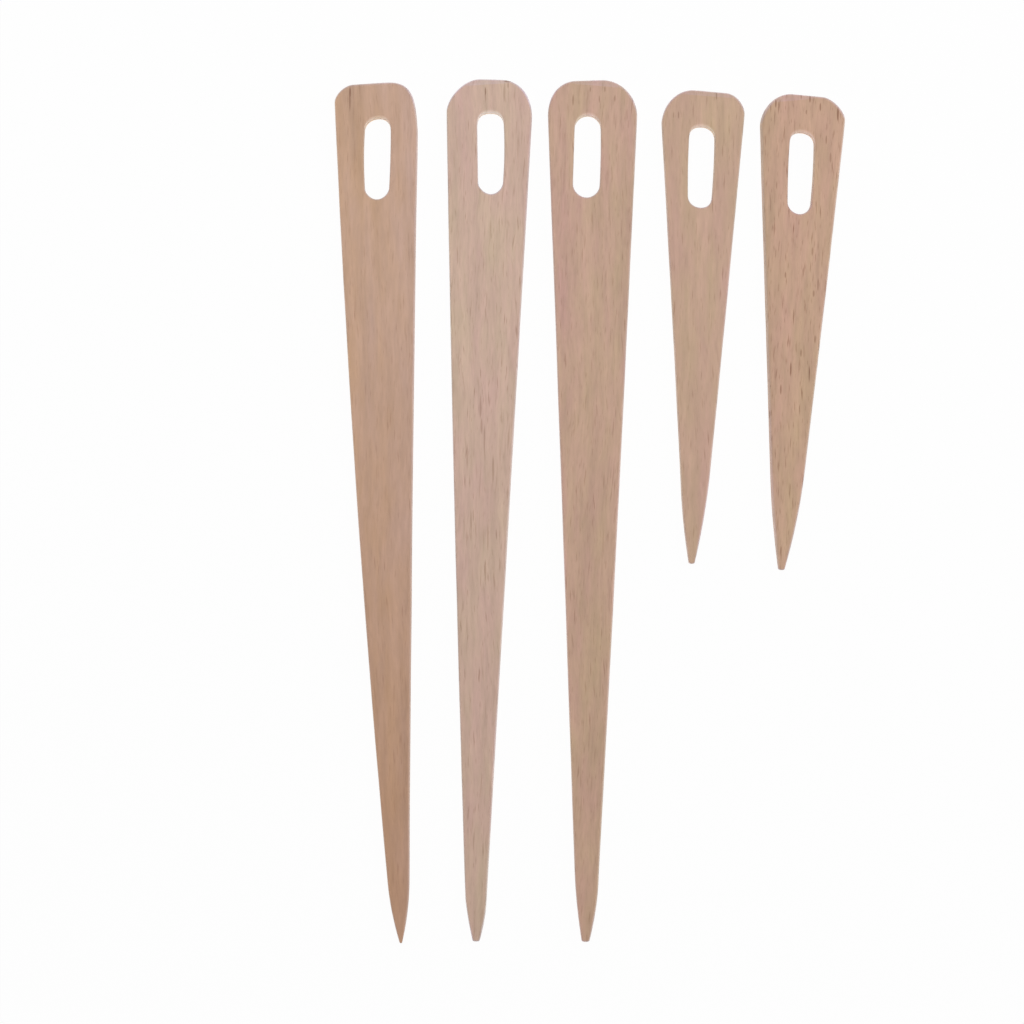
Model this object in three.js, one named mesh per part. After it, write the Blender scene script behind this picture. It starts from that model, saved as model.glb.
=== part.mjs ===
// A set of flat beech weaving needles, laid side by side with their heads in a row: three long
// and two short. Each one is a single thin piece of wood with a slotted eye, a head with rounded
// corners and a long taper that ends in a sanded point.
//
// Units are millimetres. X runs across the row, +Y points from the tips to the heads and Z is up.
// The needles lie on the plane z = 0, and the origin is under the middle of the row.
import * as THREE from 'three';
import { toCreasedNormals } from 'three/addons/utils/BufferGeometryUtils.js';

// Stock and finish that every needle shares
const stockThickness = 3;
const edgeRound = 0.8; // rounding of the outer edges, sanded by hand
const eyeRound = 0.4; // rounding of the eye's two rims
const tipSanding = 0.4; // wood taken off each face at the very tip
const noseHeight = 0.45; // height of the blunt nose that ends the tip
const roundShare = 0.6; // the most of the half width that the edge rounding takes near the tip

// The needles, from left to right. Each was sawn and sanded by hand, so each has its own sizes.
// length      from the middle of the head's top to the tip
// headWidth   across the shoulders, where the corners meet the long sides
// topSlant    how far the top's right end stands above its left end
// corners     drop is down the side and run is along the top; a fullness of 0 is a straight
//             chamfer, 0.55 a quarter of an ellipse and 1 nearly square
// bows        how far the middle of a long side stands out from a straight line
// point       the stretch that narrows faster and gets thinner: its length, its width where it
//             starts, the shift of its start to the right, the bow of its sides, and its tip
// eye         web is the wood between the head's top and the eye; skew leans its top to the left;
//             taper is the share by which its top is wider and its bottom narrower than its
//             width; leftBow and rightBow are how far its sides bow out into the wood
// top, bottom the eye's round ends: fullness as for the corners, and the shift to the right of
//             the place that reaches furthest
// gap         clear distance from the head on the left
// setBack     how far the head lies below the highest one
// lean        how far the tip lies to the right of the head
const needles = [
  {
    name: 'long_needle_left',
    length: 259.4, headWidth: 24.7, topSlant: 0.3,
    leftCorner: { drop: 5.5, run: 5.9, fullness: 0.45 },
    rightCorner: { drop: 15.5, run: 8.8, fullness: 0.8 },
    leftBow: 1.4, rightBow: -0.3,
    point: { length: 19, width: 6.6, shift: -0.2, leftBow: 0.5, rightBow: 0.5, tipWidth: 0.9 },
    eye: {
      width: 7.7, length: 24.5, web: 10.5, shift: 0, skew: -2.5, taper: 0.03,
      leftBow: 0.25, rightBow: 0.1,
      top: { fullness: 0.6, shift: 0.5 },
      bottom: { fullness: 0.5, shift: 0 },
    },
    gap: 0, setBack: 1.2, lean: 7.8,
    colour: 0xb8957d,
  },
  {
    name: 'long_needle_middle',
    length: 260, headWidth: 25.8, topSlant: -0.1,
    leftCorner: { drop: 10, run: 9.8, fullness: 0.45 },
    rightCorner: { drop: 11.6, run: 9.5, fullness: 0.6 },
    leftBow: 0.5, rightBow: 0,
    point: { length: 13, width: 6.4, shift: -0.2, leftBow: 0.2, rightBow: 0.4, tipWidth: 2.2 },
    eye: {
      width: 7.8, length: 24.5, web: 10.1, shift: 0.55, skew: 1, taper: 0.03,
      leftBow: 0, rightBow: 0.25,
      top: { fullness: 0.7, shift: 0 },
      bottom: { fullness: 0.5, shift: 0.15 },
    },
    gap: 9.4, setBack: 0, lean: -4.2,
    colour: 0xc1a492,
  },
  {
    name: 'long_needle_right',
    length: 259.8, headWidth: 26.9, topSlant: 0.3,
    leftCorner: { drop: 10.6, run: 9, fullness: 0.6 },
    rightCorner: { drop: 10.8, run: 10.4, fullness: 0.55 },
    leftBow: -0.1, rightBow: 0.3,
    point: { length: 21, width: 7.3, shift: 0.2, leftBow: 0.3, rightBow: 0.6, tipWidth: 2.4 },
    eye: {
      width: 8, length: 24.7, web: 10.6, shift: -1.55, skew: -0.9, taper: -0.01,
      leftBow: 0, rightBow: 0.15,
      top: { fullness: 0.55, shift: 0 },
      bottom: { fullness: 0.53, shift: 0.1 },
    },
    gap: 4.7, setBack: 0.3, lean: -2.2,
    colour: 0xba9984,
  },
  {
    name: 'short_needle_left',
    length: 142.5, headWidth: 24.9, topSlant: -0.6,
    leftCorner: { drop: 9.9, run: 9.2, fullness: 0.55 },
    rightCorner: { drop: 6.7, run: 6.2, fullness: 0.5 },
    leftBow: -0.1, rightBow: 0.1,
    point: { length: 26, width: 8.7, shift: 0.4, leftBow: 0.4, rightBow: 0.4, tipWidth: 1.8 },
    eye: {
      width: 7.55, length: 24.5, web: 10.6, shift: -0.3, skew: -0.4, taper: 0.03,
      leftBow: 0.1, rightBow: 0.15,
      top: { fullness: 0.65, shift: -0.4 },
      bottom: { fullness: 0.6, shift: 0.3 },
    },
    gap: 7.6, setBack: 3.6, lean: -3.7,
    colour: 0xbd9e89,
  },
  {
    name: 'short_needle_right',
    length: 143.3, headWidth: 25.5, topSlant: -0.5,
    leftCorner: { drop: 9.8, run: 9.1, fullness: 0.55 },
    rightCorner: { drop: 7, run: 7.2, fullness: 0.4 },
    leftBow: 0, rightBow: 0.2,
    point: { length: 29, width: 10.2, shift: 0.4, leftBow: 0.4, rightBow: 0.6, tipWidth: 1.9 },
    eye: {
      width: 7.3, length: 24.7, web: 11.15, shift: 0.1, skew: 0.1, taper: 0.025,
      leftBow: 0.15, rightBow: 0.2,
      top: { fullness: 0.65, shift: -0.5 },
      bottom: { fullness: 0.53, shift: 0.2 },
    },
    gap: 5, setBack: 4.8, lean: -6.8,
    colour: 0xbe9b82,
  },
];

// Steps that each kind of curve is drawn in
const noseSteps = 6; // even, so that one point is the very tip
const pointSteps = 5;
const sideSteps = 8;
const cornerSteps = 10;
const eyeSideSteps = 4;
const eyeCornerSteps = 8;
const roundSteps = 4;
const creaseAngle = Math.PI / 7; // faces that meet at less than this are shaded as one surface

// A curve that stands out by bow from the straight line between its ends. It stands out to the
// right of the way it runs, which is away from the wood on an outline drawn anticlockwise.
function bowedSide(from, to, bow) {
  const along = to.clone().sub(from).normalize();
  const outward = new THREE.Vector2(along.y, -along.x);
  const control = from.clone().lerp(to, 0.5).addScaledVector(outward, 2 * bow);
  return new THREE.QuadraticBezierCurve(from, control, to);
}

// A rounded corner from a shoulder on a long side to a place on the end. side is 1 for a right-hand
// corner and -1 for a left-hand one. At the lower end of an eye the drop is negative.
function roundedCorner(shoulder, end, corner, side) {
  const along = new THREE.Vector2(0, corner.fullness * corner.drop).add(shoulder);
  const across = new THREE.Vector2(side * corner.fullness * corner.run, 0).add(end);
  return new THREE.CubicBezierCurve(shoulder, along, across, end);
}

function reversed(points) {
  return [...points].reverse();
}

// The curve's points without the last one, which the next curve starts with.
function pointsUpToEnd(curve, steps) {
  return curve.getPoints(steps).slice(0, -1);
}

// The outline seen from above, anticlockwise from the very tip. The origin is the middle of the
// head's top and the tip is at y = -length. A point's opposite number on the other side is as
// many steps from the tip as it is.
function needleOutline(needle) {
  const { length, leftCorner, rightCorner, topSlant, point } = needle;
  const half = needle.headWidth / 2;
  const leftShoulder = new THREE.Vector2(-half, -leftCorner.drop);
  const rightShoulder = new THREE.Vector2(half, -rightCorner.drop);
  const topLeft = new THREE.Vector2(leftCorner.run - half, -topSlant / 2);
  const topRight = new THREE.Vector2(half - rightCorner.run, topSlant / 2);
  const pointLeft = new THREE.Vector2(point.shift - point.width / 2, point.length - length);
  const pointRight = new THREE.Vector2(point.shift + point.width / 2, point.length - length);
  const noseY = noseHeight - length;
  const noseArc = new THREE.EllipseCurve(0, noseY, point.tipWidth / 2, noseHeight, Math.PI, 2 * Math.PI);
  const nose = noseArc.getPoints(noseSteps);
  const noseLeft = nose[0];
  const noseRight = nose[noseSteps];

  return [
    ...nose.slice(noseSteps / 2, -1),
    ...pointsUpToEnd(bowedSide(noseRight, pointRight, point.rightBow), pointSteps),
    ...pointsUpToEnd(bowedSide(pointRight, rightShoulder, needle.rightBow), sideSteps),
    ...roundedCorner(rightShoulder, topRight, rightCorner, 1).getPoints(cornerSteps),
    ...reversed(roundedCorner(leftShoulder, topLeft, leftCorner, -1).getPoints(cornerSteps)),
    ...bowedSide(leftShoulder, pointLeft, needle.leftBow).getPoints(sideSteps).slice(1),
    ...bowedSide(pointLeft, noseLeft, point.leftBow).getPoints(pointSteps).slice(1),
    ...nose.slice(1, noseSteps / 2),
  ];
}

// The eye, a slot with round ends, clockwise so that the wood is on the left of the way it runs.
// Its sides bow to the left of that way.
function eyeOutline({ width, length, web, shift, skew, taper, leftBow, rightBow, top, bottom }) {
  const topHalf = (width / 2) * (1 + taper);
  const bottomHalf = (width / 2) * (1 - taper);
  const shoulderY = length / 2 - topHalf;
  const footY = bottomHalf - length / 2;
  const leftShoulder = new THREE.Vector2(-topHalf, shoulderY);
  const rightShoulder = new THREE.Vector2(topHalf, shoulderY);
  const leftFoot = new THREE.Vector2(-bottomHalf, footY);
  const rightFoot = new THREE.Vector2(bottomHalf, footY);
  const topEnd = new THREE.Vector2(top.shift, length / 2);
  const bottomEnd = new THREE.Vector2(bottom.shift, -length / 2);
  const topCorner = { drop: topHalf, run: topHalf, fullness: top.fullness };
  const bottomCorner = { drop: -bottomHalf, run: bottomHalf, fullness: bottom.fullness };
  const cornerPoints = (shoulder, end, corner, side) =>
    roundedCorner(shoulder, end, corner, side).getPoints(eyeCornerSteps);

  const centre = new THREE.Vector2(shift, -web - length / 2);
  const turn = THREE.MathUtils.degToRad(skew);
  return [
    ...pointsUpToEnd(bowedSide(leftFoot, leftShoulder, -leftBow), eyeSideSteps),
    ...cornerPoints(leftShoulder, topEnd, topCorner, -1).slice(0, -1),
    ...reversed(cornerPoints(rightShoulder, topEnd, topCorner, 1)).slice(0, -1),
    ...pointsUpToEnd(bowedSide(rightShoulder, rightFoot, -rightBow), eyeSideSteps),
    ...cornerPoints(rightFoot, bottomEnd, bottomCorner, 1).slice(0, -1),
    ...reversed(cornerPoints(leftFoot, bottomEnd, bottomCorner, -1)).slice(0, -1),
  ].map((p) => p.rotateAround(new THREE.Vector2(), turn).add(centre));
}

// The direction from each point of a loop into the wood, which is on the left of its run.
function inwardDirections(loop) {
  return loop.map((here, i) => {
    const before = loop.at(i - 1);
    const after = loop[(i + 1) % loop.length];
    const into = here.clone().sub(before).normalize();
    const outOf = after.clone().sub(here).normalize();
    const along = into.add(outOf).normalize();
    return new THREE.Vector2(-along.y, along.x);
  });
}

// The needle's outline as rim points: where each is, the way into the wood, the radius of the
// edge rounding there, and the share of the stock's thickness that sanding has left.
function outerRim(needle) {
  const outline = needleOutline(needle);
  const inward = inwardDirections(outline);
  const noseHalf = needle.point.tipWidth / 2;
  const noseMiddle = new THREE.Vector2(0, noseHalf - needle.length);
  const pointStart = needle.point.length - needle.length;
  return outline.map((at, i) => {
    const onNose = Math.min(i, outline.length - i) <= noseSteps / 2;
    const halfWidth = onNose ? noseHalf : at.distanceTo(outline.at(-i)) / 2;
    const towardsTip = Math.max(0, (pointStart - at.y) / needle.point.length);
    return {
      at,
      // Round the nose the rings shrink towards one point, so that they never cross.
      inward: onNose ? noseMiddle.clone().sub(at).divideScalar(noseHalf) : inward[i],
      round: Math.min(edgeRound, roundShare * halfWidth),
      shareLeft: 1 - (2 * tipSanding * towardsTip ** 2) / stockThickness,
    };
  });
}

function eyeRim(needle) {
  const outline = eyeOutline(needle.eye);
  const inward = inwardDirections(outline);
  return outline.map((at, i) => ({ at, inward: inward[i], round: eyeRound, shareLeft: 1 }));
}

// The rim's points at one level of its profile, as [x, y, z]. The turn goes from 0 on a flat
// face to a right angle where the rounding meets the wall.
function ringOf(rim, turn, isTop) {
  return rim.map(({ at, inward, round, shareLeft }) => {
    const inset = round * (1 - Math.sin(turn));
    const fromFace = round * (1 - Math.cos(turn));
    const fromMiddle = shareLeft * (stockThickness / 2 - fromFace);
    const z = stockThickness / 2 + (isTop ? fromMiddle : -fromMiddle);
    return [at.x + inset * inward.x, at.y + inset * inward.y, z];
  });
}

// Rings from the underside to the top face.
function ringsOf(rim) {
  const turns = [];
  for (let step = 0; step <= roundSteps; step += 1) turns.push((step / roundSteps) * (Math.PI / 2));
  return [
    ...turns.map((turn) => ringOf(rim, turn, false)),
    ...reversed(turns).map((turn) => ringOf(rim, turn, true)),
  ];
}

// Triangles of a face, as indices into the outer ring followed by the eye's ring, anticlockwise
// seen from above.
function faceTriangles(outer, eye) {
  const count = outer.length;
  const pointTop = noseSteps / 2 + pointSteps; // steps from the tip to where the point starts
  // The sanded point is closed by rungs between its two sides, from the tip up.
  const triangles = [[0, 1, count - 1]];
  for (let i = 1; i < pointTop; i += 1) {
    triangles.push([i, i + 1, count - i], [i + 1, count - i - 1, count - i]);
  }
  // The rest is flat, with the eye as a hole in it.
  const flat = outer.slice(pointTop, count - pointTop + 1);
  const flatten = ([x, y]) => new THREE.Vector2(x, y);
  const found = THREE.ShapeUtils.triangulateShape(flat.map(flatten), [eye.map(flatten)]);
  const ringIndex = (i) => (i < flat.length ? i + pointTop : i - flat.length + count);
  triangles.push(...found.map((triangle) => triangle.map(ringIndex)));
  return triangles;
}

// Triangles of the wall from each level to the next round one loop, which starts at first.
function wallTriangles(first, count, levels, perLevel) {
  const triangles = [];
  for (let level = 0; level < levels - 1; level += 1) {
    for (let i = 0; i < count; i += 1) {
      const a = level * perLevel + first + i;
      const b = level * perLevel + first + ((i + 1) % count);
      triangles.push([a, b, b + perLevel], [a, b + perLevel, a + perLevel]);
    }
  }
  return triangles;
}

// One closed body: the underside, the outer wall, the eye's wall and the top.
function needleGeometry(needle) {
  const outerRings = ringsOf(outerRim(needle));
  const eyeRings = ringsOf(eyeRim(needle));
  const levels = outerRings.length;
  const outerCount = outerRings[0].length;
  const eyeCount = eyeRings[0].length;
  const perLevel = outerCount + eyeCount;
  const topStart = (levels - 1) * perLevel;
  const face = faceTriangles(outerRings[0], eyeRings[0]);
  const positions = outerRings.flatMap((ring, level) => [...ring, ...eyeRings[level]]);
  const triangles = [
    ...face.map(([a, b, c]) => [a, c, b]), // the underside faces down
    ...wallTriangles(0, outerCount, levels, perLevel),
    ...wallTriangles(outerCount, eyeCount, levels, perLevel),
    ...face.map((triangle) => triangle.map((i) => i + topStart)),
  ];

  const geometry = new THREE.BufferGeometry();
  geometry.setAttribute('position', new THREE.Float32BufferAttribute(positions.flat(), 3));
  geometry.setIndex(triangles.flat());
  return toCreasedNormals(geometry, creaseAngle);
}

// The row: each head stands its gap to the right of the one before it.
const row = new THREE.Group();
row.name = 'weaving_needle_row';
let rightShoulderX = 0;
for (const needle of needles) {
  const wood = new THREE.MeshStandardMaterial({ color: needle.colour, roughness: 0.6, metalness: 0 });
  const mesh = new THREE.Mesh(needleGeometry(needle), wood);
  mesh.name = needle.name;
  mesh.position.set(rightShoulderX + needle.gap + needle.headWidth / 2, -needle.setBack, 0);
  mesh.rotation.z = Math.asin(needle.lean / needle.length);
  rightShoulderX = mesh.position.x + needle.headWidth / 2;
  row.add(mesh);
}

// The origin goes under the middle of the whole row.
const middle = new THREE.Box3().setFromObject(row, true).getCenter(new THREE.Vector3());
row.position.set(-middle.x, -middle.y, 0);

const set = new THREE.Group();
set.name = 'weaving_needle_set';
set.add(row);

export default set;
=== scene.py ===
import math

import bmesh
import bpy
import numpy as np
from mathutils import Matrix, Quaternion, Vector, geometry, noise


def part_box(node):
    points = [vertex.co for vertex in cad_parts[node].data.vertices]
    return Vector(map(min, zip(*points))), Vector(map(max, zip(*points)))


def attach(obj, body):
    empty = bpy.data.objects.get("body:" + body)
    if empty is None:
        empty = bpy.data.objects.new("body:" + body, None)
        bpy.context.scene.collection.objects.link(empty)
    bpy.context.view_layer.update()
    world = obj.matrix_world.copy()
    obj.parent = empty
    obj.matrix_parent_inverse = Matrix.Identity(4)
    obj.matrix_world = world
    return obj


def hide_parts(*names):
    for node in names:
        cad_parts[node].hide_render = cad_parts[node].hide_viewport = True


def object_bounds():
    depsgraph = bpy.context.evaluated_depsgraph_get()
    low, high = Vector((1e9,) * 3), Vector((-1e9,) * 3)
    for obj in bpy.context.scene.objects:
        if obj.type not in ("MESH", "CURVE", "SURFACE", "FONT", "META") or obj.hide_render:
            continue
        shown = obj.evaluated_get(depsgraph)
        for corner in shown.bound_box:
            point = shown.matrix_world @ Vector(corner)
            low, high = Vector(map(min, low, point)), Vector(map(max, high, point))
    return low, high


mm = 0.001  # everything below is in metres
up = Vector((0, 0, 1))
noise.seed_set(1)  # without it, noise_vector starts somewhere else in each run

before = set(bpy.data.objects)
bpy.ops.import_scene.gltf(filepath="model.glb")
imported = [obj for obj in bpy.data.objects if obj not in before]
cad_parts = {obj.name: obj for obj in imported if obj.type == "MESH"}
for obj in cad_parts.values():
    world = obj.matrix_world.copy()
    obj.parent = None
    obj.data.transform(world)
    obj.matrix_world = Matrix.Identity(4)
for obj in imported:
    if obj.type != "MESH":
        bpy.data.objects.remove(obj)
cadLow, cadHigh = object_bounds()
stock = cadHigh.z - cadLow.z  # thickness of the boards
midHeight = (cadHigh.z + cadLow.z) / 2

# How the set was finished by hand
sanding = {
    "edgeRound": 0.8 * mm,  # rounding of the outer edges on the right
    "leftRound": 0.5 * mm,  # and on the left
    "eyeRound": 0.4 * mm,  # rounding of the eye's rims
    "eyeTopRound": 1.1 * mm,  # which runs further in at its top, over the end grain
    "endRound": 0.6 * mm,  # how far the rounding runs in from the sawn end of the head
    "endDrop": 0.5 * mm,  # and how far it drops there
    "endFocus": 4,  # how sharply that end's rounding gives way to the sides', as a power
    "facetSlope": 0.18,  # how steeply the sanded facet at that end falls
    "facetFull": 0.5 * mm,  # a facet as wide as this has all of that slope
    "facetTurn": 0.35,  # past this turn to the sides, the facet gets no wider
    "crease": 0.1 * mm,  # how crisp the facet's line is
    "uneven": 0.18,  # how much the rounding varies along an edge, as a share
    "unevenPatch": 9 * mm,  # how long the uneven stretches are on the outline
    "eyeUnevenPatch": 4 * mm,  # and round the eye
    "noseHeight": 0.45 * mm,  # the blunt nose at the tip
    "roundShare": 0.6,  # the most of the half width that rounding takes near the tip
    "tipSanding": 0.4 * mm,  # wood taken off each face at the very tip
    "waver": 0.05 * mm,  # how far the sawn outline wavers
    "waverPatch": 9 * mm,
    "dish": 0.03 * mm,  # how far the flat faces dip
    "dishPatch": 8 * mm,
}
touching = 0.001 * mm  # points this close are one
fineStep = 0.1 * mm  # spacing of points on a smooth run
cell = 0.8 * mm  # spacing of the mesh on the faces
roundSteps = 6
eyeRoundSteps = 4
relaxPasses = 200  # evens out the mesh round the eye
relaxPull = 0.7
relaxRows = 14  # how far below the eye that goes


def cutLoops(node):
    # The outline and the eye of a CAD needle, from a merged copy cut at mid height
    bm = bmesh.new()
    bm.from_mesh(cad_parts[node].data)
    bmesh.ops.remove_doubles(bm, verts=bm.verts, dist=touching)
    bmesh.ops.bisect_plane(
        bm, geom=[*bm.verts, *bm.edges, *bm.faces],
        plane_co=(0, 0, midHeight), plane_no=up, clear_inner=True, clear_outer=True,
    )
    straight = math.radians(0.02)
    bmesh.ops.dissolve_limit(bm, angle_limit=straight, verts=bm.verts, edges=bm.edges)
    loops = []
    waiting = set(bm.verts)
    while waiting:
        here = waiting.pop()
        loop = []
        while here:
            waiting.discard(here)
            loop.append(here.co.to_2d().to_3d())
            others = [e.other_vert(here) for e in here.link_edges]
            here = next((v for v in others if v in waiting), None)
        turned = sum(a.cross(b).z for a, b in zip(loop, loop[1:] + loop[:1]))
        loops.append(loop if turned > 0 else loop[::-1])  # anticlockwise
    bm.free()
    eye, outline = sorted(loops, key=lambda loop: max(p.y for p in loop) - min(p.y for p in loop))
    return outline, eye


def smoothRun(loop, spacing):
    # A smooth closed run through the CAD's straight steps
    run = []
    count = len(loop)
    for i, here in enumerate(loop):
        before, after, beyond = loop[i - 1], loop[(i + 1) % count], loop[(i + 2) % count]
        stretch = (after - here).length
        leaving = (after - before) * stretch / ((here - before).length + stretch)
        arriving = (beyond - here) * stretch / ((beyond - after).length + stretch)
        steps = max(1, round(stretch / spacing))
        bow = geometry.interpolate_bezier(here, here + leaving / 3, after - arriving / 3, after, steps + 1)
        run.extend(bow[:-1])
    return run


def furthest(run, x, y):
    # Where the run reaches furthest in a direction
    return max(range(len(run)), key=lambda i: run[i].x * x + run[i].y * y)


def spread(run, start, end, steps):
    # Even steps along the closed run from one of its points to another
    part = run[start:end + 1] if start < end else run[start:] + run[:end + 1]
    walked = np.cumsum([0] + [(b - a).length for a, b in zip(part, part[1:])])
    wanted = np.linspace(0, walked[-1], steps + 1)
    xs = np.interp(wanted, walked, [p.x for p in part])
    ys = np.interp(wanted, walked, [p.y for p in part])
    return [Vector((x, y, 0)) for x, y in zip(xs, ys)]


def intoWood(points, side):
    # Square to a closed ring of points: side 1 is to its left, -1 to its right
    ways = []
    for i, here in enumerate(points):
        along = (points[(i + 1) % len(points)] - points[i - 1]).normalized()
        ways.append(Vector((-along.y, along.x, 0)) * side)
    return ways


def blockRing(left, right, bottom, top):
    # The grid places round a block of cells, anticlockwise from its lower left corner
    ring = [(i, bottom) for i in range(left, right)]
    ring += [(right, j) for j in range(bottom, top)]
    ring += [(i, top) for i in range(right, left, -1)]
    ring += [(left, j) for j in range(top, bottom, -1)]
    return ring


def unevenness(point, patch, look):
    # What a hand-sanded edge is rounded by at this point, as a factor around 1
    return 1 + sanding["uneven"] * noise.noise(point / patch + up * look["seed"])


def roundedProfile(facet, slope, side, drop, steps):
    # From the flat face out to the outline: a crease, the sanded facet and the rounding, then
    # down to mid height. Each step is a distance in from the outline and a height
    hold = min(sanding["crease"], facet / 2)
    profile = [(side, slope * facet)]
    if facet > 0:
        line = side + facet  # where the crease runs
        profile = [(line + hold, 0), (line, 0), (line - hold, slope * hold)] + profile
    for s in range(1, steps + 1):
        turn = math.pi / 2 * s / steps
        profile.append((side * (1 - math.sin(turn)), slope * facet + drop * (1 - math.cos(turn))))
    return [(inset, stock / 2 - fall) for inset, fall in profile] + [(0, 0)]


def outerEdge(points, places, plan, look):
    # How each point of the outline is rounded: more at the sawn end of the head, where a facet
    # is sanded back to a straight line, and less where the needle gets narrow
    widths = {}
    for (i, j), point in zip(places, points):
        widths.setdefault(j, []).append(point)
    noseHalf = (points[plan["columns"]] - points[0]).length / 2
    noseMiddle = (points[plan["columns"]] + points[0]) / 2
    noseMiddle += Vector((0, noseHalf - sanding["noseHeight"], 0))
    facetLeft, facetRight = [Vector((x * mm, y * mm, 0)) for x, y in look["facet"]]
    facetSlope = (facetRight.y - facetLeft.y) / (facetRight.x - facetLeft.x)
    edge = []
    for (i, j), point, into in zip(places, points, intoWood(points, 1)):
        if j == 0:
            half = noseHalf
            into = (noseMiddle - point) / noseHalf
        elif j == plan["rows"]:
            half = plan["width"] / 2
        else:
            half = (widths[j][0] - widths[j][1]).length / 2
        atEnd = max(0, -into.y) if point.y > 0 else 0  # 1 along the sawn end of the head
        atEnd **= sanding["endFocus"]
        atLeft = (1 + into.x) / 2
        side = sanding["edgeRound"]
        side += (look.get("leftRound", sanding["leftRound"]) - side) * atLeft
        drop = side + (sanding["endDrop"] - side) * atEnd
        side += (sanding["endRound"] - side) * atEnd
        side *= unevenness(point, sanding["unevenPatch"], look)
        drop *= unevenness(point, sanding["unevenPatch"], look)
        beyondLine = point.y - facetLeft.y - (point.x - facetLeft.x) * facetSlope
        facet = beyondLine / max(sanding["facetTurn"], -into.y) - side if point.y > 0 else 0
        slope = sanding["facetSlope"] * min(1, max(0, facet) / sanding["facetFull"])
        facet = max(2 * sanding["crease"], facet)
        total = facet + side + sanding["crease"]
        fits = min(1, sanding["roundShare"] * half / total)
        profile = roundedProfile(facet * fits, slope, side * fits, drop * fits, roundSteps)
        edge.append((point, into, profile))
    return edge


def eyeEdge(points, look):
    edge = []
    for point, into in zip(points, intoWood(points, -1)):
        atTop = max(0, into.y) ** 2
        side = sanding["eyeRound"]
        drop = side * unevenness(point, sanding["eyeUnevenPatch"], look)
        side += (sanding["eyeTopRound"] - side) * atTop
        side *= unevenness(point, sanding["eyeUnevenPatch"], look)
        edge.append((point, into, roundedProfile(0, 0, side, drop, eyeRoundSteps)))
    return edge


def foldDown(bm, ring, edge):
    # Takes a ring of the sheet out and down over its rounded edge, to mid height
    for step in range(1, len(edge[0][2])):
        edges = [bm.edges.get((a, b)) for a, b in zip(ring, ring[1:] + ring[:1])]
        made = bmesh.ops.extrude_edge_only(bm, edges=edges)
        fresh = {v for v in made["geom"] if isinstance(v, bmesh.types.BMVert)}
        ring = [next(e.other_vert(v) for e in v.link_edges if e.other_vert(v) in fresh) for v in ring]
        for v, (point, into, profile) in zip(ring, edge):
            inset, height = profile[step]
            v.co = point + into * inset
            v.co.z = height


def sheetPlan(run, eyeRun):
    # How many cells the sheet has, which of them the eye takes, and where the two rings go
    tip = run[furthest(run, 0, -1)]
    headTop = run[furthest(run, 0, 1)]
    onNose = [p.y < tip.y + sanding["noseHeight"] for p in run]
    noseLeft = next(i for i in range(len(run)) if onNose[i] and not onNose[i - 1])
    noseRight = next(i for i in range(len(run)) if not onNose[i] and onNose[i - 1])
    headRight = furthest(run, 1, 1)
    headLeft = furthest(run, -1, 1)
    leftmost = run[furthest(run, -1, 0)].x
    width = run[furthest(run, 1, 0)].x - leftmost
    columns = 2 * round(width / cell / 2)
    rows = round((headTop.y - tip.y) / cell)

    eyeRight = eyeRun[furthest(eyeRun, 1, 0)].x
    eyeLeft = eyeRun[furthest(eyeRun, -1, 0)].x
    eyeTop = eyeRun[furthest(eyeRun, 0, 1)].y
    eyeLow = eyeRun[furthest(eyeRun, 0, -1)].y
    eyeColumns = 2 * round((eyeRight - eyeLeft) / cell / 2)
    eyeRows = round((eyeTop - eyeLow) / cell)
    firstColumn = round(columns * ((eyeRight + eyeLeft) / 2 - leftmost) / width - eyeColumns / 2)
    lastRow = rows - round((headTop.y - eyeTop) / cell)
    plan = {"columns": columns, "rows": rows, "width": width,
            "eyeLeft": firstColumn, "eyeRight": firstColumn + eyeColumns,
            "eyeLower": lastRow - eyeRows, "eyeUpper": lastRow}

    corners = [noseLeft, noseRight, headRight, headLeft]
    outer = []
    for start, end, steps in zip(corners, corners[1:] + corners[:1], (columns, rows, columns, rows)):
        outer += spread(run, start, end, steps)[:-1]
    corners = [furthest(eyeRun, x, y) for x, y in ((-1, -1), (1, -1), (1, 1), (-1, 1))]
    inner = []
    for start, end, steps in zip(corners, corners[1:] + corners[:1], (eyeColumns, eyeRows) * 2):
        inner += spread(eyeRun, start, end, steps)[:-1]
    return plan, outer, inner, headTop, tip


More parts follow.
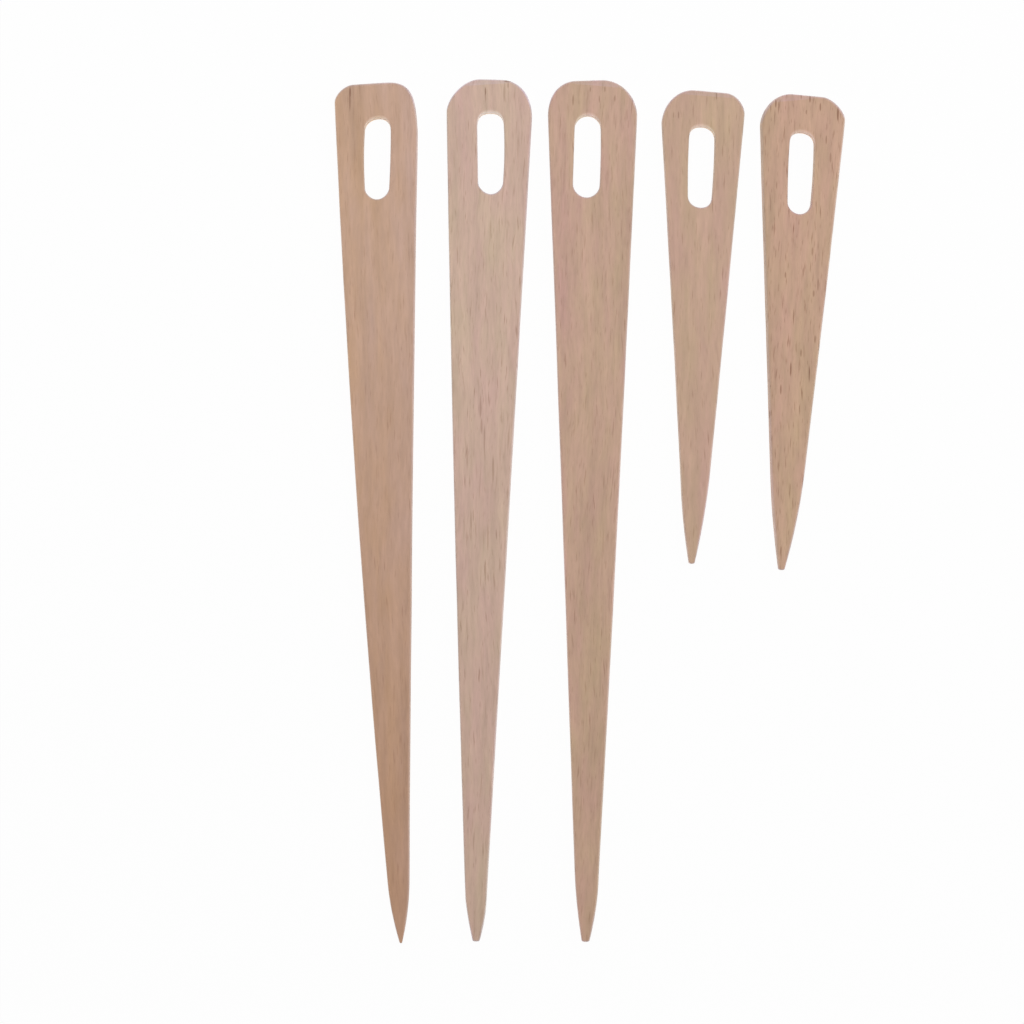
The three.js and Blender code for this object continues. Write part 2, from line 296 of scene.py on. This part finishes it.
def needleSheet(node, look):
    # The top half of a needle: a grid drawn to its outline, open at the eye, with rounded edges
    outline, eye = cutLoops(node)
    plan, outer, inner, headTop, tip = sheetPlan(smoothRun(outline, fineStep), smoothRun(eye, fineStep))
    columns, rows = plan["columns"], plan["rows"]
    places = blockRing(0, columns, 0, rows)
    eyePlaces = blockRing(plan["eyeLeft"], plan["eyeRight"], plan["eyeLower"], plan["eyeUpper"])
    rings = ((places, outerEdge(outer, places, plan, look)), (eyePlaces, eyeEdge(inner, look)))

    bm = bmesh.new()
    bmesh.ops.create_grid(bm, x_segments=columns, y_segments=rows, size=1)
    bm.verts.ensure_lookup_table()
    grid = {(i, j): bm.verts[j * (columns + 1) + i]
            for j in range(rows + 1) for i in range(columns + 1)}
    for ringPlaces, edge in rings:
        for place, (point, into, profile) in zip(ringPlaces, edge):
            grid[place].co = point + into * profile[0][0]
    fixed = {grid[place] for place in places + eyePlaces}
    for j in range(1, rows):
        stops = [0, columns]
        if plan["eyeLower"] <= j <= plan["eyeUpper"]:
            stops = [0, plan["eyeLeft"], plan["eyeRight"], columns]
        for a, b in zip(stops, stops[1:]):
            for i in range(a + 1, b):
                if grid[i, j] not in fixed:
                    grid[i, j].co = grid[a, j].co.lerp(grid[b, j].co, (i - a) / (b - a))
    inEye = [(i, j) for i in range(plan["eyeLeft"] + 1, plan["eyeRight"])
             for j in range(plan["eyeLower"] + 1, plan["eyeUpper"])]
    bmesh.ops.delete(bm, geom=[grid[place] for place in inEye], context="VERTS")
    aroundEye = range(plan["eyeLower"] - relaxRows, rows)
    free = [grid[i, j] for i in range(1, columns) for j in aroundEye if grid[i, j].is_valid]
    free = [v for v in free if v not in fixed]
    for _ in range(relaxPasses):
        bmesh.ops.smooth_vert(bm, verts=free, factor=relaxPull, use_axis_x=True, use_axis_y=True)
    for v in bm.verts:
        v.co.z = stock / 2
    for ringPlaces, edge in rings:
        foldDown(bm, [grid[place] for place in ringPlaces], edge)
    return bm, headTop, tip


def addNode(tree, kind, inputs=None, **settings):
    # One shader node, its settings, and what goes into it: values, or other nodes' sockets
    node = tree.nodes.new(kind)
    for name, value in settings.items():
        setattr(node, name, value)
    for name, value in (inputs or {}).items():
        if isinstance(value, bpy.types.NodeSocket):
            tree.links.new(value, node.inputs[name])
        else:
            node.inputs[name].default_value = value
    return node


def socketMath(tree, operation, *values, clamp=False):
    inputs = dict(enumerate(values))
    return addNode(tree, "ShaderNodeMath", inputs, operation=operation, use_clamp=clamp).outputs[0]


def between(tree, value, start, end):
    # 0 up to the start of a range, 1 from its end on
    limits = {"Value": value, "From Min": start, "From Max": end}
    return addNode(tree, "ShaderNodeMapRange", limits).outputs[0]


def tinted(tree, tint, share, shade):
    # A colour with as much of a shade over it as the share says
    return addNode(tree, "ShaderNodeMix", {0: share, 6: tint, 7: (*shade, 1)},
                   data_type="RGBA", blend_type="MULTIPLY").outputs[2]


def moved(tree, coords, shift):
    return addNode(tree, "ShaderNodeVectorMath", {0: coords, 1: shift}, operation="ADD").outputs[0]


def stretched(tree, coords, across, along):
    # The same coordinates counted in steps of a pattern: across the board, and along the grain
    steps = (1 / across, 1 / along, 1 / across)
    return addNode(tree, "ShaderNodeVectorMath", {0: coords, 1: steps}, operation="MULTIPLY").outputs[0]


def cloudy(tree, coords, across, along, seed, detail=2):
    # Noise from about -1 to 1 with patches of that many millimetres
    cloud = addNode(tree, "ShaderNodeTexNoise", {
        "Vector": stretched(tree, coords, across, along), "W": seed, "Scale": 1, "Detail": detail,
    }, noise_dimensions="4D")
    return socketMath(tree, "MULTIPLY_ADD", cloud.outputs[0], 4, -2)


def streaks(tree, coords, settings, seed):
    # Dark streaks: 0 over most of the wood, up to 1 where the noise runs highest
    wave = cloudy(tree, coords, settings["across"], settings["along"], seed)
    return between(tree, wave, settings["start"], settings["full"])


def flecks(tree, coords, settings, seed):
    # Spindles along the grain, the ends of beech's rays: 1 in the middle of each, 0 outside.
    # Only blue is a free chance: a cell's red and green follow the place of its point
    drawn = stretched(tree, coords, settings["across"], settings["along"])
    drawn = moved(tree, drawn, (seed, seed * 0.7, 0))
    cells = addNode(tree, "ShaderNodeTexVoronoi", {"Vector": drawn, "Scale": 1},
                    voronoi_dimensions="2D", distance="MANHATTAN")
    chance = addNode(tree, "ShaderNodeSeparateColor", {0: cells.outputs["Color"]}).outputs[2]
    size = addNode(tree, "ShaderNodeMapRange", {
        "Value": chance, "From Min": 1 - settings["crowd"],
        "To Min": settings["least"], "To Max": settings["most"],
    }).outputs[0]
    there = socketMath(tree, "GREATER_THAN", chance, 1 - settings["crowd"])
    within = socketMath(tree, "SUBTRACT", size, cells.outputs["Distance"])
    soft = socketMath(tree, "MULTIPLY", within, settings["sharp"], clamp=True)
    another = socketMath(tree, "FRACT", socketMath(tree, "MULTIPLY", chance, 61))
    faintest = settings["faintest"]
    depth = socketMath(tree, "MULTIPLY_ADD", another, 1 - faintest, faintest)
    return socketMath(tree, "MULTIPLY", socketMath(tree, "MULTIPLY", soft, depth), there)


def spindle(tree, board, settings, head, turn):
    # One mark at a chosen place: 0 outside it, and up to its depth in the middle
    x, y, across, along, depth = settings
    middle = Vector((x * mm, y * mm, 0)) - head
    middle.rotate(Quaternion(up, -turn))
    middle.z = 0
    away = moved(tree, board, -middle / mm)
    steps = (1 / across, 1 / along, 0)
    away = addNode(tree, "ShaderNodeVectorMath", {0: away, 1: steps}, operation="MULTIPLY").outputs[0]
    length = addNode(tree, "ShaderNodeVectorMath", {0: away}, operation="LENGTH").outputs["Value"]
    return socketMath(tree, "MULTIPLY", between(tree, length, 1, beech["markCore"]), depth)


# What the five boards have in common. Patterns are counted in millimetres, across and along
beech = {
    "bend": (16, 60),
    "ripple": (3, 9),
    "stagger": (2.2, 200),  # flecks side by side start at heights of their own
    "staggerBy": 6,  # up to that far, in millimetres
    "hues": ((3.5, 16, 0.25), (8, 60, 0.3)),  # patches and broad bands of colour, and strength
    "hueRange": (-0.4, 1.4),  # past ochre, at 0, and past rosy, at 1
    "grain": ((9, 240, 0.03), (3.2, 40, 0.06), (1.3, 12, 0.07), (0.6, 5, 0.06), (0.28, 2, 0.035)),
    "broadFrom": 3,  # layers wider than this follow "broad" of a needle, the others "contrast"
    "darkness": (0.8, 1, 1.1),  # how a dark streak or fleck takes red, green and blue
    "markShade": (0.52, 0.42, 0.36),
    "markCore": 0.6,  # the part of a chosen mark that has its full depth
    "tipwards": (-60, -250),  # where along the board the tip's colour starts and is complete
    # The painted highlight at the top of the eye reaches only this far along the board
    "eyeTopLightFrom": -60,  # only above this
    # Painted shade that makes the walls darker and warmer
    "wallPaintedShade": (0.74, 0.65, 0.53),
    # The painted highlight on the rounding at the top of the eye
    "eyeTopPaintedLight": (1.36, 1.42, 1.28),
    "rough": 0.6,
    "roughVaries": 0.05,  # from fibre to fibre
    "sheen": 0.3,
    "relief": 0.01 * mm,  # height of the fibres
    "reliefStrength": 0.4,
    "pits": -0.8,  # how far the dark marks sink, against the fibres' height
}

# How far the surface turns for each kind of edge's painted tint to start and to be complete, read from the
# normal: its height for the painted sheen on rounded edges and the painted shade on the walls, its part
# along the grain for the painted sheen on the end grain and, signed, for the painted highlight at the top
# of the eye
turning = {
    "rimSheen": (0.982, 0.7),
    "wall": (0.5, 0.1),
    "endGrainSheen": (0.06, 0.17),
    "eyeTop": (-0.04, -0.3),
}


def beechWood(look, head, turn):
    wood = bpy.data.materials.new(look["slot"])
    wood.use_nodes = True
    tree = wood.node_tree
    tree.nodes.clear()

    # Millimetres on the board: x across it, y along it from the head's end, z through it
    source = addNode(tree, "ShaderNodeTexCoord")
    board = addNode(tree, "ShaderNodeMapping", {
        "Vector": source.outputs["Object"], "Location": head,
        "Rotation": (0, 0, turn), "Scale": (mm, mm, mm),
    }, vector_type="TEXTURE").outputs[0]
    seed = look["seed"]

    # The grain wanders to the sides, in long bends and in short ones
    bend = cloudy(tree, board, *beech["bend"], seed, detail=1)
    ripple = cloudy(tree, board, *beech["ripple"], seed + 20, detail=1)
    aside = socketMath(tree, "MULTIPLY", ripple, look["ripple"])
    aside = socketMath(tree, "MULTIPLY_ADD", bend, look["bend"], aside)
    grain = moved(tree, board, addNode(tree, "ShaderNodeCombineXYZ", {0: aside}).outputs[0])
    stagger = cloudy(tree, board, *beech["stagger"], seed + 40, detail=1)
    stagger = socketMath(tree, "MULTIPLY", stagger, beech["staggerBy"])
    fleckGrain = moved(tree, grain, addNode(tree, "ShaderNodeCombineXYZ", {1: stagger}).outputs[0])

    # Colour: from ochre to rosy in patches and broad bands, and from side to side. Each pattern
    # here and below is drawn with a seed of its own
    place = addNode(tree, "ShaderNodeSeparateXYZ", {0: board})
    hue = socketMath(tree, "MULTIPLY_ADD", place.outputs[0], look["lean"], 0.5)
    for across, along, strength in beech["hues"]:
        seed += 1.3
        layer = cloudy(tree, grain, across, along, seed)
        hue = socketMath(tree, "MULTIPLY_ADD", layer, strength * look["patchy"], hue)
    leastHue, mostHue = beech["hueRange"]
    hue = socketMath(tree, "MINIMUM", socketMath(tree, "MAXIMUM", hue, leastHue), mostHue)
    tint = addNode(tree, "ShaderNodeMix", {0: hue, 6: (*look["ochre"], 1), 7: (*look["rosy"], 1)},
                   data_type="RGBA", clamp_factor=False).outputs[2]

    # Light and dark: growth bands, streaks and fibres
    light = 1.0
    for across, along, strength in beech["grain"]:
        seed += 3.1
        layer = cloudy(tree, grain, across, along, seed)
        strength *= look["broad"] if across > beech["broadFrom"] else look["contrast"]
        light = socketMath(tree, "MULTIPLY_ADD", layer, strength, light)
    fibres = layer
    tint = addNode(tree, "ShaderNodeVectorMath", {0: tint, "Scale": light}, operation="SCALE").outputs[0]

    # Dark marks in the grain: streaks and flecks, and the marks at chosen places
    marks = 0.0
    patterns = [(streaks, grain, settings) for settings in look["streaks"]]
    patterns += [(flecks, fleckGrain, settings) for settings in look["flecks"]]
    for pattern, coords, settings in patterns:
        seed += 5.7
        mark = pattern(tree, coords, settings, seed)
        inked = [1 - settings["dark"] * share for share in beech["darkness"]]
        tint = tinted(tree, tint, mark, inked)
        marks = socketMath(tree, "MAXIMUM", marks, mark)
    placed = 0.0
    for settings in look["marks"]:
        placed = socketMath(tree, "MAXIMUM", placed, spindle(tree, board, settings, head, turn))
    tint = tinted(tree, tint, placed, beech["markShade"])

    # The colour darkens towards the tip
    tint = tinted(tree, tint, between(tree, place.outputs[1], *beech["tipwards"]), look["tip"])

    # Painted light and shade where the surface turns: a pale bluish painted sheen on the rounded edges and
    # more of it on the end grain, painted shade that makes the sawn walls darker and warmer, and a painted
    # highlight on the rounding over the end grain at the top of the eye
    facing = addNode(tree, "ShaderNodeSeparateXYZ", {0: source.outputs["Normal"]}).outputs
    height = socketMath(tree, "ABSOLUTE", facing[2])
    endOn = socketMath(tree, "ABSOLUTE", facing[1])
    # Painted sheen, pale and bluish, on the rounded edges
    tint = tinted(tree, tint, between(tree, height, *turning["rimSheen"]), look["rimSheen"])
    # Painted sheen, pale and bluish, on the end grain and the sanded facets
    tint = tinted(tree, tint, between(tree, endOn, *turning["endGrainSheen"]), look["endGrainSheen"])
    # Painted shade on the walls, darker and warmer
    tint = tinted(tree, tint, between(tree, height, *turning["wall"]), beech["wallPaintedShade"])
    # Painted highlight on the rounding over the end grain at the top of the eye
    eyeTop = between(tree, facing[1], *turning["eyeTop"])
    atHead = socketMath(tree, "GREATER_THAN", place.outputs[1], beech["eyeTopLightFrom"])
    eyeTop = socketMath(tree, "MULTIPLY", eyeTop, atHead)
    tint = tinted(tree, tint, eyeTop, beech["eyeTopPaintedLight"])

    # Sanded and unvarnished: dull, with fibres that can just be felt
    rough = socketMath(tree, "MULTIPLY_ADD", fibres, beech["roughVaries"], beech["rough"])
    relief = socketMath(tree, "MULTIPLY_ADD", marks, beech["pits"], fibres)
    bump = addNode(tree, "ShaderNodeBump", {
        "Height": relief, "Strength": beech["reliefStrength"], "Distance": beech["relief"],
    })
    surface = addNode(tree, "ShaderNodeBsdfPrincipled", {
        "Base Color": tint, "Roughness": rough, "Specular IOR Level": beech["sheen"],
        "Normal": bump.outputs[0],
    })
    addNode(tree, "ShaderNodeOutputMaterial", {"Surface": surface.outputs[0]})
    return wood


def needlePiece(node, look):
    bm, headTop, tip = needleSheet(node, look)
    bmesh.ops.mirror(bm, geom=[*bm.verts, *bm.edges, *bm.faces], merge_dist=touching, axis="Z")
    bmesh.ops.recalc_face_normals(bm, faces=bm.faces)
    low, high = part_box(node)
    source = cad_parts[node].data.vertices
    pointStart = min(v.co.y for v in source if v.co.z > high.z - touching)
    for v in bm.verts:
        towardsTip = max(0, (pointStart - v.co.y) / (pointStart - tip.y))
        thinning = 2 * sanding["tipSanding"] / stock * towardsTip ** 2
        # Dips and wavers are twice as long as wide, and each face dips in places of its own
        dips = Vector((v.co.x, v.co.y / 2, v.co.z * 4)) / sanding["dishPatch"]
        dish = sanding["dish"] * (0.5 + 0.5 * noise.noise(dips))
        v.co.z *= (1 - thinning) * (1 - dish / (stock / 2))
        wavers = Vector((v.co.x, v.co.y / 2, 0)) / sanding["waverPatch"] + up * look["seed"]
        waver = noise.noise_vector(wavers)
        v.co.x += sanding["waver"] * waver.x
        v.co.y += sanding["waver"] * waver.y
        v.co.z += midHeight
        v.co.x = min(max(v.co.x, low.x), high.x)
        v.co.y = min(max(v.co.y, low.y), high.y)
    mesh = bpy.data.meshes.new(node + "_wood")
    bm.to_mesh(mesh)
    bm.free()
    mesh.shade_smooth()
    axis = headTop - tip
    mesh.materials.append(beechWood(look, headTop, math.atan2(-axis.x, axis.y)))
    piece = bpy.data.objects.new(node + "_wood", mesh)
    bpy.context.scene.collection.objects.link(piece)
    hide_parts(node)
    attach(piece, node)
    print(piece.name, "has", len(mesh.polygons), "faces")


def fromScreen(shade):
    # A colour as picked on a screen, in the linear values that shaders take
    parts = [int(shade[i:i + 2], 16) / 255 for i in (0, 2, 4)]
    return [c / 12.92 if c <= 0.04045 else ((c + 0.055) / 1.055) ** 2.4 for c in parts]


def longStreaks(dark, along=8):
    return [{"across": 0.6, "along": along, "start": 0.35, "full": 0.85, "dark": dark}]


def rayFlecks(crowd, dark):
    # Long flecks and small ones. Crowd is how many of the places have one, least and most are
    # half sizes as parts of a place, and faintest is against the darkest
    shared = {"crowd": crowd, "least": 0.08, "most": 0.26, "faintest": 0.35}
    return [
        {"across": 1.0, "along": 12, "sharp": 14, "dark": dark, **shared},
        {"across": 0.7, "along": 6, "sharp": 12, "dark": dark * 0.7, **shared},
    ]


# The five needles. A facet's line runs from left to right, in millimetres in the frame. Each
# mark has its middle there, its half size across and along the grain, and its depth
# Each needle's tints for the rounded edges and for the end grain are painted sheen, pale and bluish
needles = {
    "long_needle_left": {
        "slot": "beech_tan", "seed": 1.7, "facet": ((-72.4, 127.7), (-59.1, 128.6)),
        "bend": 1.0, "ripple": 0.25, "contrast": 0.85, "broad": 1.5, "lean": 0.03, "patchy": 1.2,
        "ochre": fromScreen("bc997e"), "rosy": fromScreen("c09f8f"), "tip": (0.885, 0.81, 0.75),
        "rimSheen": (1.05, 1.21, 1.42), "endGrainSheen": (0.97, 1.02, 1.16),
        "streaks": longStreaks(0.12), "flecks": rayFlecks(0.5, 0.2),
        "marks": [(-72.4, 124.2, 0.35, 4.2, 0.6), (-72.3, 126.2, 0.35, 1.9, 0.85)],
    },
    "long_needle_middle": {
        "slot": "beech_pale", "seed": 4.2, "facet": ((-37.4, 128.2), (-23.5, 129.0)),
        "bend": 1.4, "ripple": 0.4, "contrast": 1.0, "broad": 1.2, "lean": 0.01, "patchy": 1.3,
        "ochre": fromScreen("c2aa93"), "rosy": fromScreen("c6a499"), "tip": (0.97, 0.95, 0.95),
        "rimSheen": (1.05, 1.21, 1.42), "endGrainSheen": (0.97, 1.02, 1.16),
        "streaks": longStreaks(0.22, 13), "flecks": rayFlecks(0.5, 0.3),
        "marks": [
            (-24.8, 129.6, 1.3, 0.45, 0.8), (-24.7, 128.3, 0.3, 1.0, 0.4), (-31.5, 126.6, 0.26, 1.4, 0.75),
            (-25.8, 126.0, 0.4, 3.0, 0.35), (-33.0, 31.6, 0.3, 4.4, 0.42), (-32.7, 25.7, 0.35, 2.8, 0.45),
            (-31.8, 22.0, 0.3, 4.6, 0.42), (-37.0, 16.5, 0.3, 4.6, 0.38), (-29.2, 12.9, 0.35, 4.6, 0.45),
            (-35.9, -2.6, 0.3, 3.6, 0.35), (-30.8, -7.8, 0.3, 5.0, 0.42), (-31.5, -18.0, 0.3, 4.0, 0.42),
        ],
    },
    "long_needle_right": {
        "slot": "beech_flecked", "seed": 7.9, "facet": ((-6.6, 128.9), (6.1, 127.9)),
        "bend": 1.2, "ripple": 0.25, "contrast": 1.0, "broad": 1.2, "lean": -0.01, "patchy": 1.6,
        "ochre": fromScreen("ba9e83"), "rosy": fromScreen("bf998b"), "tip": (0.97, 0.95, 0.93),
        "rimSheen": (1.05, 1.21, 1.42), "endGrainSheen": (0.99, 1.03, 1.18),
        "streaks": longStreaks(0.14), "flecks": rayFlecks(0.75, 0.28),
        "marks": [(-5.1, 123.9, 0.24, 2.0, 0.7), (0.1, 127.1, 0.2, 0.9, 0.6), (4.5, 127.2, 0.2, 1.1, 0.7),
                  (7.5, 124.4, 0.22, 1.2, 0.65), (2.8, 124.2, 0.18, 1.3, 0.6)],
    },
    "short_needle_left": {
        "slot": "beech_rosy", "seed": 11.3, "facet": ((24.8, 125.9), (39.3, 124.8)),
        "bend": 0.8, "ripple": 0.25, "contrast": 0.9, "broad": 1.0, "lean": 0.0, "patchy": 1.5,
        "ochre": fromScreen("ba9e83"), "rosy": fromScreen("be9a8a"), "tip": (1.02, 1.02, 1.0),
        "rimSheen": (1.05, 1.21, 1.42), "endGrainSheen": (0.98, 1.0, 1.16),
        "streaks": longStreaks(0.12), "flecks": rayFlecks(0.5, 0.28),
        "marks": [
            (38.1, 125.1, 0.24, 1.3, 0.65), (26.7, 119.4, 0.2, 1.3, 0.65), (25.2, 119.4, 0.2, 1.1, 0.5),
        ],
    },
    "short_needle_right": {
        "slot": "beech_warm", "seed": 15.6, "facet": ((56, 123.3), (69, 124.4)),
        "leftRound": 1.2 * mm, "bend": 1.0, "ripple": 0.3, "contrast": 1.05, "broad": 1.1,
        "lean": 0.0, "patchy": 1.3,
        "ochre": fromScreen("ba9d7f"), "rosy": fromScreen("c09887"), "tip": (1, 1, 1),
        "rimSheen": (1.0, 1.15, 1.36), "endGrainSheen": (0.99, 1.01, 1.18),
        "streaks": longStreaks(0.14), "flecks": rayFlecks(0.75, 0.45),
        "marks": [
            (56.0, 122.9, 0.28, 1.5, 0.9), (66.3, 124.2, 0.28, 1.2, 0.9), (69.4, 121.8, 0.28, 1.5, 0.8),
            (74.7, 119.7, 0.32, 2.4, 1.0), (65.2, 120.3, 0.28, 0.8, 0.6), (71.2, 111.9, 0.25, 1.6, 0.7),
            (72.5, 106.5, 0.35, 1.8, 0.5), (67.0, 78.3, 0.3, 1.5, 0.6), (58.9, 71.2, 0.3, 1.1, 0.7),
            (68.7, 68.2, 0.28, 2.3, 0.55), (67.4, 65.6, 0.35, 1.2, 0.6), (67.8, 51.8, 0.28, 1.5, 0.7),
            (63.6, 47.7, 0.3, 1.4, 0.65), (60.5, 42.8, 0.3, 2.6, 0.9), (66.1, 41.4, 0.28, 2.9, 0.7),
            (57.5, 36.7, 0.28, 1.8, 0.8),
        ],
    },
}
for node, look in needles.items():
    needlePiece(node, look)

# Camera
view = {
    "lens": 85,
    "field": 309.2 * mm,  # what the picture takes in, at the boards' mid height
    "middle": Vector((-23.5 * mm, -0.23 * mm, midHeight)),
}
camera = bpy.data.objects.new("camera", bpy.data.cameras.new("camera"))
bpy.context.scene.collection.objects.link(camera)
camera.data.lens = view["lens"]
camera.location = view["middle"] + up * view["field"] * view["lens"] / camera.data.sensor_width
bpy.context.scene.camera = camera
bpy.context.scene.view_settings.view_transform = "Standard"
print("camera set")


def backgroundRays(tree):
    # 1 for the rays that see the background itself: straight, mirrored or through glass
    path = addNode(tree, "ShaderNodeLightPath")
    either = path.outputs["Is Camera Ray"]
    for name in ("Is Glossy Ray", "Is Transmission Ray"):
        adding = addNode(tree, "ShaderNodeMath", {0: either, 1: path.outputs[name]}, operation="MAXIMUM")
        either = adding.outputs[0]
    return either


# Studio: soft light from above the heads, a lower soft light from the right, white all round
studio = {
    "around": 0.58,  # share of the light that comes from all sides
    "above": {"share": 0.34, "size": 0.5, "place": Vector((-0.02, 0.3, 0.55))},
    "right": {"share": 0.09, "size": 0.4, "place": Vector((0.75, 0.12, 0.5))},
    "floorSize": 3,
    "floorColour": 0.8,
    "floorLight": 1.6,  # the paper is lit more than the wood, and brightens its edges and eyes
    "floorWhite": 0.96,  # how white the camera sees the floor; the rest shows the shadows
}


def softLight(name, settings):
    # A square lamp that aims at the needles; its share is of the light that a flat face needs
    lamp = bpy.data.lights.new(name, "AREA")
    lamp.size = settings["size"]
    away = settings["place"] - view["middle"]
    slope = away.normalized().z
    lamp.energy = settings["share"] * math.pi ** 2 * away.length_squared / slope
    light = bpy.data.objects.new(name, lamp)
    light.location = settings["place"]
    light.rotation_euler = away.to_track_quat("Z", "Y").to_euler()
    bpy.context.scene.collection.objects.link(light)


def studioWorld():
    world = bpy.data.worlds.new("studio")
    bpy.context.scene.world = world
    world.use_nodes = True
    tree = world.node_tree
    tree.nodes.clear()
    light = addNode(tree, "ShaderNodeBackground", {"Color": (1, 1, 1, 1), "Strength": studio["around"]})
    white = addNode(tree, "ShaderNodeBackground", {"Color": (1, 1, 1, 1), "Strength": 1})
    seen = addNode(tree, "ShaderNodeMixShader",
                   {0: backgroundRays(tree), 1: light.outputs[0], 2: white.outputs[0]})
    addNode(tree, "ShaderNodeOutputWorld", {"Surface": seen.outputs[0]})


def floorPaper():
    paper = bpy.data.materials.new("white_paper")
    paper.use_nodes = True
    tree = paper.node_tree
    tree.nodes.clear()
    pale = [studio["floorColour"]] * 3 + [1]
    plain = addNode(tree, "ShaderNodeBsdfDiffuse", {"Color": pale})
    extra = addNode(tree, "ShaderNodeEmission", {"Color": (1, 1, 1, 1), "Strength": studio["floorLight"]})
    bright = addNode(tree, "ShaderNodeAddShader", {0: plain.outputs[0], 1: extra.outputs[0]})
    white = addNode(tree, "ShaderNodeEmission", {"Color": (1, 1, 1, 1), "Strength": 1})
    shaded = addNode(tree, "ShaderNodeMixShader",
                     {0: studio["floorWhite"], 1: plain.outputs[0], 2: white.outputs[0]})
    seen = addNode(tree, "ShaderNodeMixShader",
                   {0: backgroundRays(tree), 1: bright.outputs[0], 2: shaded.outputs[0]})
    addNode(tree, "ShaderNodeOutputMaterial", {"Surface": seen.outputs[0]})
    return paper


floorMesh = bpy.data.meshes.new("floor")
bm = bmesh.new()
bmesh.ops.create_grid(bm, x_segments=1, y_segments=1, size=studio["floorSize"] / 2)
bm.to_mesh(floorMesh)
bm.free()
floor = bpy.data.objects.new("floor", floorMesh)
bpy.context.scene.collection.objects.link(floor)
floorMesh.materials.append(floorPaper())
studioWorld()
softLight("light_above", studio["above"])
softLight("light_right", studio["right"])
print("studio lit")
